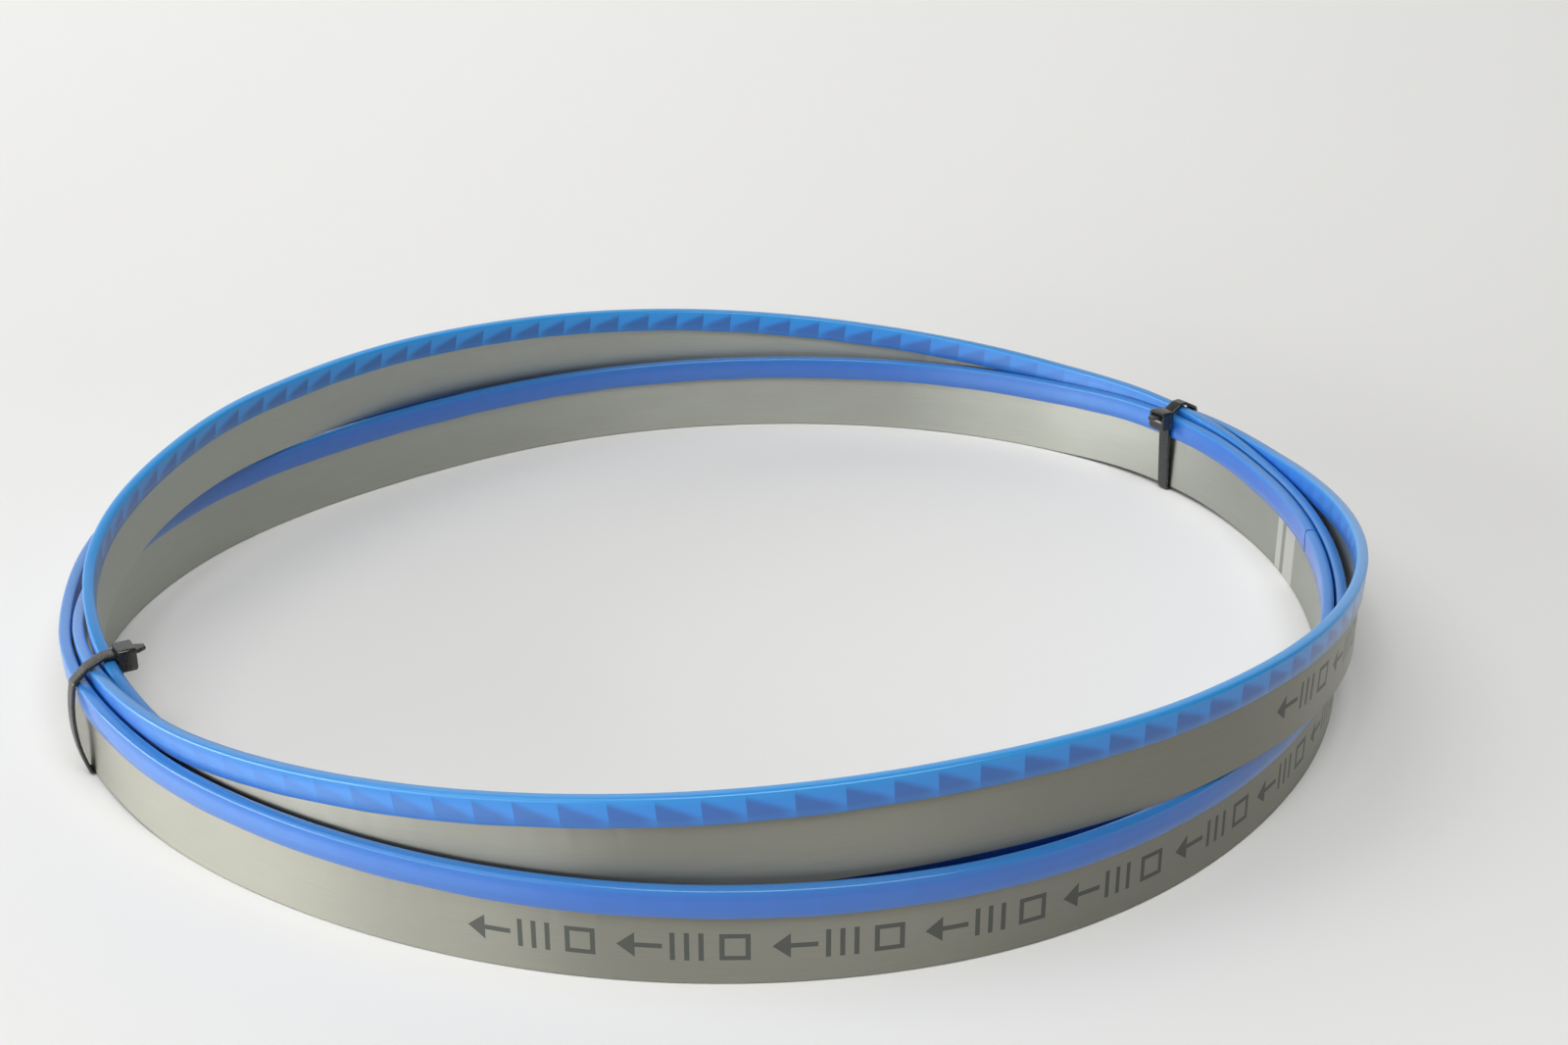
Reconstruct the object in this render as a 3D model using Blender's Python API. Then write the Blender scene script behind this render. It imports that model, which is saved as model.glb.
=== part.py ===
"""Band saw blade: an endless toothed steel band coiled to three turns, with its tooth guard and two cable ties.

Metres, +Z up, teeth up. The coil lies on the plane z = 0, and the middle of its outline is over the origin.
A place on the band is given by three coordinates: along, the distance from the weld; across, the distance
from the middle of its thickness, positive outwards; and up, the height above its back edge. The function
wound carries such places onto the coil, so the blade and its guard are drawn straight and then wound.
"""

import math

import bmesh
import bpy
import numpy as np

# Band: a blade is ordered by these three sizes
BAND_LENGTH = 3.670
BAND_WIDTH = 0.027
BAND_THICKNESS = 0.0009

# Teeth: one group of uneven pitches is repeated round the loop, with a set for each tooth of the group
TOOTH_PITCHES = (0.0106, 0.0110, 0.0117, 0.0123, 0.0117)
TOOTH_SIDES = (0, 1, -1, 1, -1)
TOOTH_DEPTH = 0.0048
TOOTH_RAKE = math.radians(10)
TOOTH_SET = 0.00035

# Clearances
CLEARANCE = 0.0003
TIP_GAP = 0.0003
STRAND_SLACK = 0.0001
HOP_SLACK = 0.0002

# Tooth guard: a U-shaped strip over the teeth
GUARD_HEIGHT = 0.0085
GUARD_WALL = 0.0008
GUARD_ROOF = 0.0011
GUARD_CORNER = 0.0008
GUARD_JOINT = 0.0010
GUARD_STEP = 0.0147

# Cable ties
TIE_WIDTH = 0.0048
TIE_THICKNESS = 0.0012
TIE_SLACK = 0.0021
TIE_TAIL = 0.0027
HEAD_LENGTH = 0.0052
HEAD_WIDTH = 0.0074
HEAD_HEIGHT = 0.0072
HEAD_COVER = 0.0010
HEAD_BEVEL = 0.0005
ARC_STEP = math.radians(30)

# Coil: places round it are in turns, clockwise seen from above, from the middle of the front
TURNS = 3
SECOND_TURN = 1
THIRD_TURN = 2
WELD_AT = 0.712
GUARD_JOINT_AT = 0.735
LEFT_TIE_AT = 0.1795
REAR_TIE_AT = 0.6485
REAR_CROSSING_AT = 0.3427
REAR_SPREAD = 0.054
FRONT_CROSSING_AT = 0.8948
FRONT_SPREAD = 0.060

# Outline: each departure from a circle as its number of lobes, its depth and the heading of one lobe
LOBES = (
    (2, 0.00830, math.radians(23.4)),
    (3, 0.00387, math.radians(59.7)),
    (4, 0.00112, math.radians(20.2)),
    (5, 0.00099, math.radians(41.3)),
)

# Hops, in turns: first foot, start and end of the flat top, last foot. The band goes over itself twice,
# the outer strand bows away from the other two at the rear, and the strand that is lifted there leans in.
REAR_HOP = (1.131, 1.316, 1.342, 1.718)
FRONT_HOP = (2.634, 2.885, 2.917, 3.253)
BOW_HOP = (2.210, 2.312, 2.312, 2.608)
LEAN_HOP = (1.221, 1.289, 1.380, 1.526)
TIE_HOP = (0.050, 0.008)
REAR_BOW = 0.0129
REAR_LEAN = math.radians(11.2)

# Sizes that follow from these
SLOT_WIDTH = BAND_THICKNESS + 2 * (TOOTH_SET + CLEARANCE)
MOUTH_WIDTH = BAND_THICKNESS + 2 * CLEARANCE
GUARD_WIDTH = SLOT_WIDTH + 2 * GUARD_WALL
CROWN = BAND_WIDTH + TIP_GAP + GUARD_ROOF
STRAND_SPACING = GUARD_WIDTH + CLEARANCE + STRAND_SLACK
HOP_HEIGHT = CROWN + CLEARANCE + HOP_SLACK
TIE_SEAT = TIE_THICKNESS + CLEARANCE


def eased(turn, start, end):
    """0 before start, 1 after end, and half a cosine wave between them."""
    share = np.clip((turn - start) / (end - start), 0, 1)
    return 0.5 - 0.5 * np.cos(np.pi * share)


def hop(turn, foot, top_start, top_end, last_foot):
    """0 away from the hop and 1 on its flat top."""
    return eased(turn, foot, top_start) * (1 - eased(turn, top_end, last_foot))


def moved(turn, crossing, spread):
    """The share of one strand's sideways move that is done, spread on both sides of a crossing."""
    return eased(turn, crossing - spread, crossing + spread)


def strand_rank(turn):
    """-1 where the strand is the inner of the three, 0 in the middle and 1 outside.

    At the rear crossing the first turn goes in under the second, and at the front crossing the second
    turn goes out under the third. That closes three turns into one loop with no twist left in it.
    """
    first_in = moved(turn, REAR_CROSSING_AT, REAR_SPREAD)
    second_out = moved(turn, SECOND_TURN + REAR_CROSSING_AT, REAR_SPREAD)
    second_out_again = moved(turn, SECOND_TURN + FRONT_CROSSING_AT, FRONT_SPREAD)
    third_in = moved(turn, THIRD_TURN + FRONT_CROSSING_AT, FRONT_SPREAD)
    return second_out + second_out_again - first_in - third_in


def height(turn):
    """The back edge's height: both hops over a crossing, and a small one over each tie's strap."""
    lift = HOP_HEIGHT * (hop(turn, *REAR_HOP) + hop(turn, *FRONT_HOP) + hop(turn + TURNS, *FRONT_HOP))
    reach, flat = TIE_HOP
    for tie in (LEFT_TIE_AT, REAR_TIE_AT):
        offset = (turn - tie + 0.5) % 1 - 0.5
        lift = lift + TIE_SEAT * hop(offset, -reach, -flat, flat, reach)
    return lift


def coil_points(turn, mean_radius):
    """Points of the back edge's middle line, on a lobed outline of this mean radius."""
    turn = np.asarray(turn, dtype=float) % TURNS
    angle = -np.pi / 2 - 2 * np.pi * turn
    radius = mean_radius + STRAND_SPACING * strand_rank(turn) + REAR_BOW * hop(turn, *BOW_HOP)
    for number, depth, heading in LOBES:
        radius = radius + depth * np.cos(number * (angle - heading))
    return np.stack([radius * np.cos(angle), radius * np.sin(angle), height(turn)], axis=-1)


def lengths(points):
    """The distance along a line of points from its first to each of them."""
    return np.concatenate([[0.0], np.cumsum(np.linalg.norm(np.diff(points, axis=0), axis=1))])


TABLE_TURNS = WELD_AT + np.linspace(0, TURNS, 9001)


def fitted_radius():
    """The mean radius at which the closed line is as long as the band."""
    radius = BAND_LENGTH / (2 * np.pi * TURNS)
    for _ in range(6):
        radius = radius * BAND_LENGTH / lengths(coil_points(TABLE_TURNS, radius))[-1]
    return radius


MEAN_RADIUS = fitted_radius()
TABLE_LENGTHS = lengths(coil_points(TABLE_TURNS, MEAN_RADIUS))


def along_of(turn):
    """The distance along the band, from the weld, of a place given in turns."""
    return float(np.interp((turn - WELD_AT) % TURNS + WELD_AT, TABLE_TURNS, TABLE_LENGTHS))


def strand_frame(turn):
    """Points of the line with the directions out of its face and up its width, as arrays of vectors."""
    step = 1e-4
    ahead = coil_points(turn + step, MEAN_RADIUS)
    behind = coil_points(turn - step, MEAN_RADIUS)
    forward = (ahead - behind) / np.linalg.norm(ahead - behind, axis=-1, keepdims=True)
    outward = np.cross((0.0, 0.0, 1.0), forward)
    outward = outward / np.linalg.norm(outward, axis=-1, keepdims=True)
    upward = np.cross(forward, outward)
    lean = (REAR_LEAN * hop(turn % TURNS, *LEAN_HOP))[..., None]
    leaning_out = outward * np.cos(lean) + upward * np.sin(lean)
    leaning_up = upward * np.cos(lean) - outward * np.sin(lean)
    return coil_points(turn, MEAN_RADIUS), leaning_out, leaning_up


def wound(along, across, up):
    """World points of places on the straight band."""
    turn = np.interp(np.asarray(along) % BAND_LENGTH, TABLE_LENGTHS, TABLE_TURNS)
    point, outward, upward = strand_frame(turn)
    return point + outward * np.asarray(across)[..., None] + upward * np.asarray(up)[..., None]


def material(name, colour, roughness, metallic, alpha=1.0):
    """A plain finish for one piece."""
    made = bpy.data.materials.new(name)
    made.use_nodes = True
    shader = made.node_tree.nodes["Principled BSDF"]
    shader.inputs["Base Color"].default_value = (*colour, 1.0)
    shader.inputs["Roughness"].default_value = roughness
    shader.inputs["Metallic"].default_value = metallic
    shader.inputs["Alpha"].default_value = alpha
    return made


def mesh_object(name, points, faces, finish, parent):
    """An object of these points and faces, with its normals out."""
    mesh = bpy.data.meshes.new(name)
    mesh.from_pydata(points.tolist(), [], faces)
    shape = bmesh.new()
    shape.from_mesh(mesh)
    bmesh.ops.recalc_face_normals(shape, faces=shape.faces)
    shape.to_mesh(mesh)
    shape.free()
    mesh.shade_smooth()
    mesh.set_sharp_from_angle(angle=math.radians(25))
    if finish:
        mesh.materials.append(finish)
    made = bpy.data.objects.new(name, mesh)
    made.parent = parent
    bpy.context.scene.collection.objects.link(made)
    return made


def tooth_stations():
    """The tip's place and the pitch ahead of it for every tooth, and each tooth's side."""
    groups = round(BAND_LENGTH / sum(TOOTH_PITCHES))
    pitches = np.tile(TOOTH_PITCHES, groups)
    pitches = pitches * BAND_LENGTH / pitches.sum()
    tips = np.cumsum(pitches) - pitches[0]
    return tips, np.roll(pitches, -1), np.tile(TOOTH_SIDES, groups)


def band_points():
    """Six places for each tooth on each face: tip, rake foot, gullet floor, gullet exit and the back edge.

    The rake face leans forward by TOOTH_RAKE, the gullet is round, and the tooth's back rises straight
    from the gullet exit to the next tip. A tip is bent to its side by TOOTH_SET, its rake foot by a third.
    """
    tips, pitch, sides = tooth_stations()
    foot_drop = 0.6 * TOOTH_DEPTH
    foot = tips - foot_drop * math.tan(TOOTH_RAKE)
    along = [tips, foot, tips + 0.10 * pitch, tips + 0.26 * pitch, foot]
    drop = [0.0, foot_drop, TOOTH_DEPTH, 0.88 * TOOTH_DEPTH, BAND_WIDTH]
    bend = [1.0, 1 / 3, 0.0, 0.0, 0.0]
    faces = []
    for side in (-1, 1):
        for place, down, share in zip(along, drop, bend):
            across = side * BAND_THICKNESS / 2 + TOOTH_SET * share * sides
            faces.append(wound(place, across, np.full_like(place, BAND_WIDTH - down)))
    return np.concatenate(faces), len(tips)


def add_band(finish, parent):
    """The blade: per tooth one seven-sided panel on each face, four strips on top and one below."""
    points, teeth = band_points()
    tip, foot, gullet, leave, back = (np.arange(5) * teeth)[:, None] + np.arange(teeth)
    other = 5 * teeth
    faces = []
    for i in range(teeth):
        j = (i + 1) % teeth
        panel = [back[i], back[j], foot[j], tip[j], leave[i], gullet[i], foot[i]]
        faces.append([int(p) for p in panel])
        faces.append([int(p) + other for p in reversed(panel)])
        rim = [foot[i], gullet[i], leave[i], tip[j], foot[j]]
        for a, b in zip(rim, rim[1:]):
            faces.append([int(a), int(b), int(b) + other, int(a) + other])
        faces.append([int(back[j]), int(back[i]), int(back[i]) + other, int(back[j]) + other])
    return mesh_object("blade_band", points, faces, finish, parent)


def guard_profile():
    """The U section as (across, up): down one side outside, round the crown, and back inside the slot."""
    top = CROWN
    bottom = CROWN - GUARD_HEIGHT
    slot_top = CROWN - GUARD_ROOF
    half = GUARD_WIDTH / 2
    lip = MOUTH_WIDTH / 2 + GUARD_WALL
    corner = [(half - GUARD_CORNER * (1 - math.cos(a)), top - GUARD_CORNER * (1 - math.sin(a)))
              for a in (0.0, math.pi / 4, math.pi / 2)]
    right = [(MOUTH_WIDTH / 2, bottom), (lip, bottom), *corner]
    left = [(-across, up) for across, up in reversed(right)]
    inside = [(-SLOT_WIDTH / 2, slot_top), (SLOT_WIDTH / 2, slot_top)]
    return np.array(right + left + inside)


def add_guard(finish, parent):
    """The guard: its section carried all the way round, with a small gap between its two ends."""
    start = along_of(GUARD_JOINT_AT) + GUARD_JOINT / 2
    run = BAND_LENGTH - GUARD_JOINT
    stations = round(run / GUARD_STEP) + 1
    along = start + np.linspace(0, run, stations)
    profile = guard_profile()
    sides = len(profile)
    grid = [np.repeat(along, sides), np.tile(profile[:, 0], stations), np.tile(profile[:, 1], stations)]
    points = wound(*grid)
    faces = []
    for i in range(stations - 1):
        for k in range(sides):
            a = i * sides + k
            b = i * sides + (k + 1) % sides
            faces.append([a, b, b + sides, a + sides])
    faces.append(list(range(sides)))
    faces.append(list(range((stations - 1) * sides, stations * sides))[::-1])
    return mesh_object("tooth_guard", points, faces, finish, parent)


def hull(points):
    """The convex outline of flat points, anticlockwise from the leftmost."""
    def half_outline(ordered):
        kept = []
        for x, y in ordered:
            while len(kept) > 1:
                (ax, ay), (bx, by) = kept[-2:]
                if (bx - ax) * (y - ay) - (by - ay) * (x - ax) > 1e-12:
                    break
                kept.pop()
            kept.append((x, y))
        return kept[:-1]
    ordered = sorted(points)
    return half_outline(ordered) + half_outline(ordered[::-1])


def rounded(corners, first, last, distance):
    """A chain of corners moved outwards, with an arc round each corner that turns enough to need one.

    The chain runs anticlockwise. It starts facing the heading first and ends facing the heading last.
    """
    edges = np.diff(corners, axis=0)
    between = np.arctan2(edges[:, 1], edges[:, 0]) - math.pi / 2
    headings = np.unwrap([first, *between, last])
    line = []
    for corner, before, after in zip(corners, headings, headings[1:]):
        steps = round((after - before) / ARC_STEP)
        reach = distance
        angles = np.linspace(before, after, steps + 1) if steps > 0 else [(before + after) / 2]
        if steps <= 0:
            reach = distance / math.cos((after - before) / 2)
        line += [corner + reach * np.array([math.cos(a), math.sin(a)]) for a in angles]
    return line


def arc_between(start, end, rise, steps=12):
    """Points inside the circular arc that stands off the chord of two points by rise, on its right."""
    chord = end - start
    half = np.linalg.norm(chord) / 2
    ahead = chord / (2 * half)
    side = np.array([ahead[1], -ahead[0]])
    radius = (half * half + rise * rise) / (2 * rise)
    reach = math.atan2(half, radius - rise)
    angles = np.linspace(-reach, reach, steps + 1)[1:-1]
    centre = (start + end) / 2 + side * (rise - radius)
    return list(centre + radius * (np.outer(np.cos(angles), side) + np.outer(np.sin(angles), ahead)))


def bundle_corners(turn):
    """The tie's own frame at this place, and the corners of the three strands in it as (out, up).

    A climbing strand leans, so each corner is taken where it passes the middle and both edges of the head.
    """
    origin, outward, _ = strand_frame(np.array(float(turn)))
    origin = origin * (1, 1, 0)
    forward = np.cross(outward, (0.0, 0.0, 1.0))
    profile = [(BAND_THICKNESS / 2, 0.0), *guard_profile()[1:5]]
    corners = []
    for strand in range(TURNS):
        lean = strand_frame(np.array(float(turn + strand)))[2] @ forward
        for edge in (-HEAD_WIDTH / 2, 0.0, HEAD_WIDTH / 2):
            for across, up in profile:
                for side in (-1, 1):
                    along = along_of(turn + strand) + edge - up * lean
                    place = wound(along, side * across, up) - origin
                    corners.append((float(place @ outward), float(place[2])))
    return origin, outward, corners


def strap_line(corners, slack):
    """The strap's middle line as (out, up): from the head down the inner side, under the strands, up the
    outer side, in over their crowns and out through the head's window.

    A snug strap follows the convex outline of the strands. A slack one leaves it on the outer side in an
    arc that stands out by slack, and an arc of that rise turns by half_turn on each side of its middle.
    """
    off = CLEARANCE + TIE_THICKNESS / 2
    outline = np.array(hull(corners))
    crowns = [i for i, (out, up) in enumerate(outline)
              if up > CROWN and out > outline[0, 0] + GUARD_CORNER / 8]
    inner_crown = min(crowns, key=lambda i: outline[i, 0])
    root = outline[inner_crown, 1] - HEAD_HEIGHT / 2
    first = next(i for i, (_, up) in enumerate(outline) if up < root)
    chain = outline[first:inner_crown + 1]
    if slack:
        half_turn = 2 * math.atan(2 * slack / CROWN)
        below = rounded(chain[chain[:, 1] < CROWN / 3], -math.pi, -half_turn, off)
        outer_crown = CROWN + TIE_SEAT - GUARD_CORNER / 2
        above = rounded(chain[chain[:, 1] > outer_crown], half_turn, math.pi / 2, off)
        line = below + arc_between(below[-1], above[0], slack) + above
    else:
        line = rounded(chain, -math.pi, math.pi / 2, off)
    line = np.array(line)
    inner = outline[0, 0] - off
    window = line[-1, 1]
    start = [inner, root]
    end = [inner - HEAD_LENGTH - TIE_TAIL, window]
    return np.concatenate([[start], line, [end]])


def ribbon(line, thickness):
    """The closed outline of a strip of this thickness along a flat line, mitred at its bends."""
    steps = np.diff(line, axis=0)
    steps = steps / np.linalg.norm(steps, axis=1, keepdims=True)
    after = np.concatenate([steps, steps[-1:]])
    middle = after + np.concatenate([steps[:1], steps])
    middle = middle / np.linalg.norm(middle, axis=1, keepdims=True)
    across = np.stack([-middle[:, 1], middle[:, 0]], axis=1) / (middle * after).sum(axis=1, keepdims=True)
    return np.concatenate([line + across * thickness / 2, (line - across * thickness / 2)[::-1]])


def prism(name, outline, width, frame, finish, parent):
    """A flat outline in the tie's frame, carried to both sides by half the width."""
    origin, outward = frame
    tangent = np.cross(outward, (0.0, 0.0, 1.0))
    flat = origin + outline[:, :1] * outward + outline[:, 1:] * np.array([0.0, 0.0, 1.0])
    count = len(outline)
    points = np.concatenate([flat - tangent * width / 2, flat + tangent * width / 2])
    faces = [list(range(count)), list(range(count, 2 * count))[::-1]]
    for i in range(count):
        j = (i + 1) % count
        faces.append([i, j, j + count, i + count])
    return mesh_object(name, points, faces, finish, parent)


def rectangle(low_out, high_out, low_up, high_up):
    """The four corners of a rectangle in the tie's frame."""
    return np.array([[low_out, low_up], [high_out, low_up], [high_out, high_up], [low_out, high_up]])


def helper(made):
    """Marks an object as a cutter or a join that isn't a piece of its own."""
    made.hide_render = True
    made.display_type = "WIRE"
    return made


def boolean(made, operation, other):
    """A Boolean modifier that joins another object to this one, or cuts it away."""
    modifier = made.modifiers.new(f"{operation.title()} {other.name}", "BOOLEAN")
    modifier.operation = operation
    modifier.solver = "EXACT"
    modifier.object = other


def add_tie(name, turn, slack, finish, parent):
    """One cable tie: strap, head and tail in one piece, with the strap's end loose in the head's window."""
    origin, outward, corners = bundle_corners(turn)
    frame = (origin, outward)
    line = strap_line(corners, slack)
    near = min(out for out, _ in corners) - CLEARANCE
    far = near - HEAD_LENGTH
    window = line[-1, 1]
    opening = TIE_THICKNESS / 2 + CLEARANCE
    top = window + opening + HEAD_COVER
    head = prism(f"{name}_head", rectangle(far, near, top - HEAD_HEIGHT, top), HEAD_WIDTH, frame, finish, parent)
    bevel = head.modifiers.new("Bevel", "BEVEL")
    bevel.width = HEAD_BEVEL
    bevel.segments = 2
    bevel.limit_method = "ANGLE"
    cut = prism(f"{name}_window", rectangle(far - TIE_TAIL, near + TIE_TAIL, window - opening, window + opening),
                TIE_WIDTH + 2 * CLEARANCE, frame, None, parent)
    boolean(head, "DIFFERENCE", helper(cut))
    tie = prism(name, ribbon(line, TIE_THICKNESS), TIE_WIDTH, frame, finish, parent)
    boolean(tie, "UNION", helper(head))
    return tie


def main():
    for leftover in list(bpy.data.objects):
        bpy.data.objects.remove(leftover)
    coil = bpy.data.objects.new("coil", None)
    bpy.context.scene.collection.objects.link(coil)
    steel = material("blade steel", (0.36, 0.35, 0.31), 0.38, 1.0)
    plastic = material("blue guard plastic", (0.03, 0.17, 0.68), 0.25, 0.0)
    nylon = material("black nylon", (0.012, 0.012, 0.013), 0.45, 0.0)
    pieces = [
        add_band(steel, coil),
        add_guard(plastic, coil),
        add_tie("cable_tie_left", LEFT_TIE_AT, TIE_SLACK, nylon, coil),
        add_tie("cable_tie_rear", REAR_TIE_AT, 0.0, nylon, coil),
    ]
    corners = np.array([vertex.co for piece in pieces for vertex in piece.data.vertices])
    middle = (corners.min(axis=0) + corners.max(axis=0)) / 2
    coil.location = (-middle[0], -middle[1], 0.0)


main()
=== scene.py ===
# %% [markdown]
# # A band saw blade, coiled for the shelf
# A band saw blade is an endless steel band. To store it, it is folded into three turns that cross over one
# another, and then the turns hold each other in place. Here the teeth wear a blue plastic guard, and two
# cable ties keep the turns together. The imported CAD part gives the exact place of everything, so this lesson
# loads it first, and then builds finer surfaces in the same frame, in metres.
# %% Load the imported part
import math

import bmesh
import bpy
import numpy as np
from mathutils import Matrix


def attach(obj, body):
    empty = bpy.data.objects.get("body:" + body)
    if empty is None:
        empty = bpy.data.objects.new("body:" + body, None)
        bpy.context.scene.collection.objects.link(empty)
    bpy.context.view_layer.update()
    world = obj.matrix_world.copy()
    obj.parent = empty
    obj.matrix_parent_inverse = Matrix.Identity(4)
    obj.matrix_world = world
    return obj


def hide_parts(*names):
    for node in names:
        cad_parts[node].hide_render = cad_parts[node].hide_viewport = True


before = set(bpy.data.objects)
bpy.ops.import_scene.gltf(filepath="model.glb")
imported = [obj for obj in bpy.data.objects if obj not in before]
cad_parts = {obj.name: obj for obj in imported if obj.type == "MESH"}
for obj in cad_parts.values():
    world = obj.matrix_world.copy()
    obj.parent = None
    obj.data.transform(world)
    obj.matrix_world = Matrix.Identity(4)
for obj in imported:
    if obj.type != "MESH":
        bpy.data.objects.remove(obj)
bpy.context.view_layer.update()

# %% [markdown]
# ## Colours and nodes
# Colours are written as the hex values that an eye-dropper shows, and Blender wants them linear, so one
# function turns the one into the other. Another adds a node with its settings and its links in a single call.
# %% Two helpers for materials
def linear(hex_colour):
    """sRGB hex to linear: below 0.04045 divide by 12.92, above it raise to the power 2.4."""
    parts = [int(hex_colour[i:i + 2], 16) / 255 for i in (1, 3, 5)]
    return (*[p / 12.92 if p <= 0.04045 else ((p + 0.055) / 1.055) ** 2.4 for p in parts], 1.0)


MATH, MIX, RANGE = "ShaderNodeMath", "ShaderNodeMix", "ShaderNodeMapRange"


def node(tree, kind, inputs=None, **settings):
    """Adds a node, sets its properties, and sets or links its inputs.

    Inputs are given by name or number, or in order. A node that is given as one stands for its first output.
    """
    made = tree.nodes.new(kind)
    for name, value in settings.items():
        setattr(made, name, value)
    if isinstance(inputs, tuple):
        inputs = dict(enumerate(inputs))
    for name, value in (inputs or {}).items():
        if isinstance(value, bpy.types.Node):
            value = value.outputs[0]
        if isinstance(value, bpy.types.NodeSocket):
            tree.links.new(value, made.inputs[name])
        else:
            made.inputs[name].default_value = value
    return made


def new_material(name):
    """An empty material with its Principled shader."""
    made = bpy.data.materials.new(name)
    made.use_nodes = True
    return made, made.node_tree, made.node_tree.nodes["Principled BSDF"]


# %% [markdown]
# ## The coil's rule
# The band's width stays upright while it goes round, except at the rear, where the lifted strand leans in.
# So the whole coil is one line, and a turn number says where on it we are, 0 to 3, clockwise from the middle
# of the front. The strand's rank says whether it runs inside, in the middle or outside, shallow lobes make
# the outline less than a circle, and the height lifts the band where it has to step over another strand.
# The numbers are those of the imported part, so the fine surfaces land on it.
# %% The line of the coil
BAND_LENGTH, BAND_WIDTH, BAND_THICKNESS = 3.670, 0.027, 0.0009
TURNS = 3
COIL_CENTRE = np.array([0.006717, -0.001426, 0.0])
WELD_AT, GUARD_JOINT_AT = 0.712, 0.735
LEFT_TIE_AT, REAR_TIE_AT = 0.1795, 0.6485
REAR_CROSSING, REAR_SPREAD = 0.3427, 0.054
FRONT_CROSSING, FRONT_SPREAD = 0.8948, 0.060
STRAND_SPACING = 0.0042
HOP_HEIGHT = 0.0289
TIE_SEAT = 0.0015
LOBES = ((2, 0.00830, 23.4), (3, 0.00387, 59.7), (4, 0.00112, 20.2), (5, 0.00099, 41.3))
REAR_HOP = (1.131, 1.316, 1.342, 1.718)
FRONT_HOP = (2.634, 2.885, 2.917, 3.253)
BOW_HOP = (2.210, 2.312, 2.312, 2.608)
LEAN_HOP = (1.221, 1.289, 1.380, 1.526)
REAR_BOW, REAR_LEAN = 0.0129, math.radians(11.2)


def eased(turn, start, end):
    """0 before start, 1 after end, and half a cosine wave between them."""
    share = np.clip((turn - start) / (end - start), 0, 1)
    return 0.5 - 0.5 * np.cos(np.pi * share)


def hop(turn, foot, top_start, top_end, last_foot):
    """0 away from the hop and 1 on its flat top."""
    return eased(turn, foot, top_start) * (1 - eased(turn, top_end, last_foot))


def moved(turn, crossing, spread):
    """The share of one strand's sideways move that is done, spread on both sides of a crossing."""
    return eased(turn, crossing - spread, crossing + spread)


def coil_line(turn, mean_radius):
    """Points of the back edge: a circle, plus rank, plus the rear bow, plus lobes, plus height.

    A lobe term is depth times the cosine of number times the angle from its heading.
    """
    turn = np.asarray(turn, float) % TURNS
    angle = -np.pi / 2 - 2 * np.pi * turn
    rank = (moved(turn, REAR_CROSSING + 1, REAR_SPREAD) + moved(turn, FRONT_CROSSING + 1, FRONT_SPREAD)
            - moved(turn, REAR_CROSSING, REAR_SPREAD) - moved(turn, FRONT_CROSSING + 2, FRONT_SPREAD))
    radius = mean_radius + STRAND_SPACING * rank + REAR_BOW * hop(turn, *BOW_HOP)
    for number, depth, heading in LOBES:
        radius += depth * np.cos(number * (angle - math.radians(heading)))
    height = HOP_HEIGHT * (hop(turn, *REAR_HOP) + hop(turn, *FRONT_HOP) + hop(turn + TURNS, *FRONT_HOP))
    for tie in (LEFT_TIE_AT, REAR_TIE_AT):
        height += TIE_SEAT * hop((turn - tie + 0.5) % 1 - 0.5, -0.05, -0.008, 0.008, 0.05)
    return np.stack([radius * np.cos(angle), radius * np.sin(angle), height], -1)


def lengths(points):
    """The distance along a line of points from its first to each of them."""
    return np.concatenate([[0.0], np.cumsum(np.linalg.norm(np.diff(points, axis=0), axis=1))])


table_turns = WELD_AT + np.linspace(0, TURNS, 9001)
MEAN_RADIUS = BAND_LENGTH / (2 * np.pi * TURNS)
for _ in range(6):
    MEAN_RADIUS *= BAND_LENGTH / lengths(coil_line(table_turns, MEAN_RADIUS))[-1]
table_lengths = lengths(coil_line(table_turns, MEAN_RADIUS))
print("mean diameter of the coil", round(2000 * MEAN_RADIUS, 1), "mm")

# %% [markdown]
# ## From a straight strip to the coil
# It is much easier to draw a strip straight, and to wind it afterwards. A place on the strip is three
# numbers: along, across its thickness, and up its width. Winding finds the point of the line at that length,
# and steps from it in the direction out of the strip's face and in the direction up its width.
# %% Winding a strip
def along_of(turn):
    """The distance from the weld of a place given in turns."""
    return float(np.interp((turn - WELD_AT) % TURNS + WELD_AT, table_turns, table_lengths))


def strand_frame(turn):
    """A point of the line, with the direction out of the face and the direction up the width."""
    ahead, behind = coil_line(turn + 1e-4, MEAN_RADIUS), coil_line(turn - 1e-4, MEAN_RADIUS)
    forward = (ahead - behind) / np.linalg.norm(ahead - behind, axis=-1, keepdims=True)
    outward = np.cross((0.0, 0.0, 1.0), forward)
    outward /= np.linalg.norm(outward, axis=-1, keepdims=True)
    upward = np.cross(forward, outward)
    lean = (REAR_LEAN * hop(turn % TURNS, *LEAN_HOP))[..., None]
    return (coil_line(turn, MEAN_RADIUS) + COIL_CENTRE, outward * np.cos(lean) + upward * np.sin(lean),
            upward * np.cos(lean) - outward * np.sin(lean))


def wound(along, across, up):
    """World points of places on the straight strip, for arrays of one shape."""
    point, outward, upward = strand_frame(np.interp(along % BAND_LENGTH, table_lengths, table_turns))
    return point + outward * across[..., None] + upward * up[..., None]


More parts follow.
